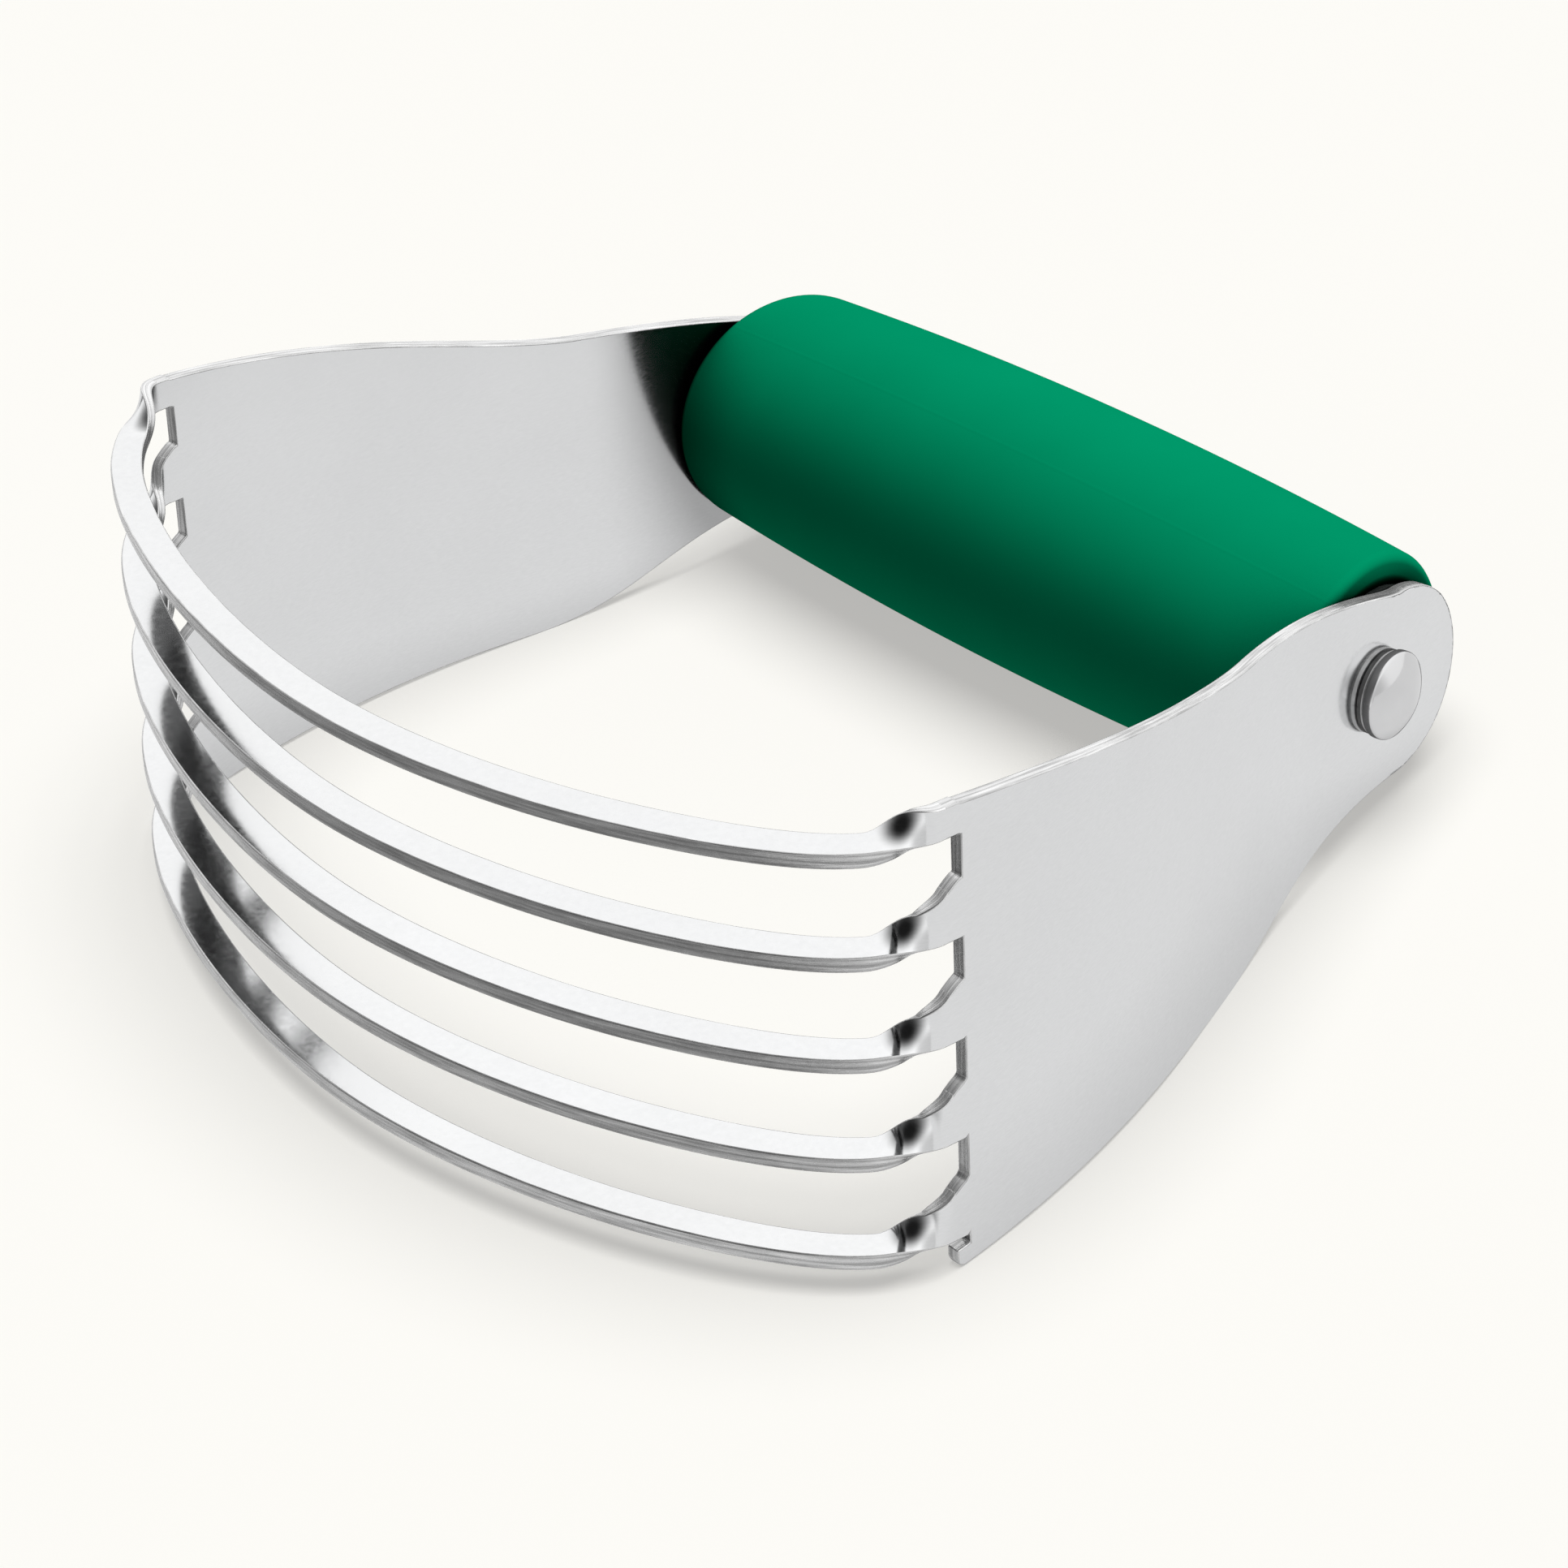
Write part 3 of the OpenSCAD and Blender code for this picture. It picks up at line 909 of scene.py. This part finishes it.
def build_pieces():
    head, washer = polished_head(), washer_steel()
    frame_piece = add_piece("blade_sheet", blade_frame_mesh(), [steel_face(), steel_cut()])
    soften_edges(frame_piece, SHEET_BEVEL, 2, 1)
    stand_for(frame_piece, "blade_frame")
    sleeve = add_piece("sleeve_skin", sleeve_mesh(), [green_sleeve()])
    stand_for(sleeve, "grip_sleeve")

    for name, side in (("right", 1), ("left", -1)):
        title = "rivet_head_" + name
        mesh = turned_mesh(title, rivet_profile(), at_rivet(side), False)
        stand_for(add_piece(title, mesh, [head]), "rivet_" + name)
        title = "seat_washer_" + name
        mesh = turned_mesh(title, washer_profile(), at_rivet(side), True)
        disc = add_piece(title, mesh, [washer])
        soften_edges(disc, WASHER_BEVEL, 1)
        stand_for(disc, "washer_" + name)

    brass = insert_brass()
    finishes = {"handle_core": core_plastic(), "insert_right": brass, "insert_left": brass}
    for node, material in finishes.items():
        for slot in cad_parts[node].material_slots:
            slot.material = material
    return frame_piece, sleeve


# ---------------------------------------------------------------- floor, light and camera
def build_floor():
    """Matt pieces don't see it and it throws no shadow, so light from below is the dome's."""
    half = 3.0
    corners = [(-half, -half, 0), (half, -half, 0), (half, half, 0), (-half, half, 0)]
    mesh = bpy.data.meshes.new("floor")
    mesh.from_pydata(corners, [], [(0, 1, 2, 3)])
    floor = add_piece("floor", mesh, [floor_white()])
    floor.visible_diffuse = False
    floor.visible_shadow = False
    return floor


def soft_sun(name, toward, width, energy, lit):
    """A light from one direction, this many degrees wide, for the objects in lit alone."""
    light = bpy.data.lights.new(name, "SUN")
    light.angle = radians(width)
    light.energy = energy
    lamp = bpy.data.objects.new(name, light)
    bpy.context.scene.collection.objects.link(lamp)
    lamp.rotation_euler = Vector(toward).to_track_quat("Z", "Y").to_euler()
    lamp.visible_glossy = False
    receivers = bpy.data.collections.new(name + "_lit")
    for piece in lit:
        receivers.objects.link(piece)
    lamp.light_linking.receiver_collection = receivers


class Dome(Tree):
    """The studio's world, whose brightness follows the direction."""

    def __init__(self):
        world = bpy.data.worlds.new("studio")
        bpy.context.scene.world = world
        world.use_nodes = True
        super().__init__(world.node_tree)
        self.direction = self.add("ShaderNodeTexCoord").outputs["Generated"]
        split = self.add("ShaderNodeSeparateXYZ")
        self.join(self.direction, split.inputs["Vector"])
        self.height = split.outputs["Z"]

    def gap(self, toward, inner, outer, dark):
        """1 away from a direction in the tool's own frame, and dark within an angle of it."""
        dot = self.add("ShaderNodeVectorMath", operation="DOT_PRODUCT")
        dot.inputs[1].default_value = (AT_REST.to_3x3() @ Vector(toward)).normalized()
        self.join(self.direction, dot.inputs[0])
        start, end = cos(radians(outer)), cos(radians(inner))
        return self.span(dot.outputs["Value"], 1, dark, start, end, "SMOOTHSTEP")

    def finish(self, matt, glossy):
        """Each kind of ray gets its own level; the eye sees the floor's white past its edge."""
        path = self.add("ShaderNodeLightPath")
        level = self.add("ShaderNodeMix", data_type="FLOAT")
        self.join(path.outputs["Is Glossy Ray"], level.inputs["Factor"])
        self.join(matt, level.inputs["A"])
        self.join(glossy, level.inputs["B"])
        around = self.tree.nodes["Background"]
        around.inputs["Color"].default_value = (1, 1, 1, 1)
        self.join(level.outputs["Result"], around.inputs["Strength"])
        beyond = self.add("ShaderNodeBackground", Color=(*BACKDROP_WHITE, 1))
        choose = self.add("ShaderNodeMixShader")
        self.join(path.outputs["Is Camera Ray"], choose.inputs["Fac"])
        self.join(around.outputs["Background"], choose.inputs[1])
        self.join(beyond.outputs["Background"], choose.inputs[2])
        self.join(choose.outputs["Shader"], self.tree.nodes["World Output"].inputs["Surface"])


def build_dome():
    """Polished pieces see a bright dome with a dark gap, which gives the blades' twists their dark
    marks, and a fainter one at the right; matt pieces see a dim dome, brighter from below."""
    dome = Dome()
    matt = dome.span(dome.height, 0.35, 0.1, -0.15, 0.1)
    bright = dome.span(dome.height, 1.02, 1.2, 0.0, 0.9)
    twist_gap = dome.gap((-0.25, -0.80, 0.50), inner=10, outer=62, dark=0.01)
    side_gap = dome.gap((0.95, -0.30, 0.10), inner=15, outer=45, dark=0.65)
    both_gaps = dome.math("MULTIPLY", twist_gap, side_gap)
    dome.finish(matt, dome.math("MULTIPLY", bright, both_gaps))


def build_camera():
    """The camera stands at an azimuth and elevation in the tool's own frame, a little rolled.
    Its distance and the point it looks at are in millimetres, and its near limit is in metres."""
    azimuth, elevation, roll = radians(50.75), radians(29.81), radians(2.47)
    distance = 538.3
    focal_length = 120.16
    film_width = 36
    near_limit = 0.01
    aim = Vector((-9.27, -30.27, -20.91))
    back = Vector((sin(azimuth) * cos(elevation), -cos(azimuth) * cos(elevation), sin(elevation)))
    level = Vector((cos(azimuth), sin(azimuth), 0))
    upright = back.cross(level)
    right = cos(roll) * level - sin(roll) * upright
    up = sin(roll) * level + cos(roll) * upright
    turn = AT_REST.to_3x3() * (1 / MM)
    camera = bpy.data.objects.new("camera", bpy.data.cameras.new("camera"))
    camera.data.sensor_width = film_width
    camera.data.lens = focal_length
    camera.data.clip_start = near_limit
    bpy.context.scene.collection.objects.link(camera)
    place = Matrix((turn @ right, turn @ up, turn @ back)).transposed().to_4x4()
    place.translation = AT_REST @ (aim + distance * back)
    camera.matrix_world = place
    bpy.context.scene.camera = camera


frame_piece, sleeve = build_pieces()
floor = build_floor()
build_dome()
soft_sun("overhead", (0.1, 0.1, 1), width=48, energy=3.1, lit=[floor])
soft_sun("grip_light", (0.3, 0.45, 1), width=40, energy=3.2, lit=[sleeve, frame_piece])
build_camera()
bpy.context.scene.view_settings.view_transform = "Standard"
bpy.context.view_layer.update()
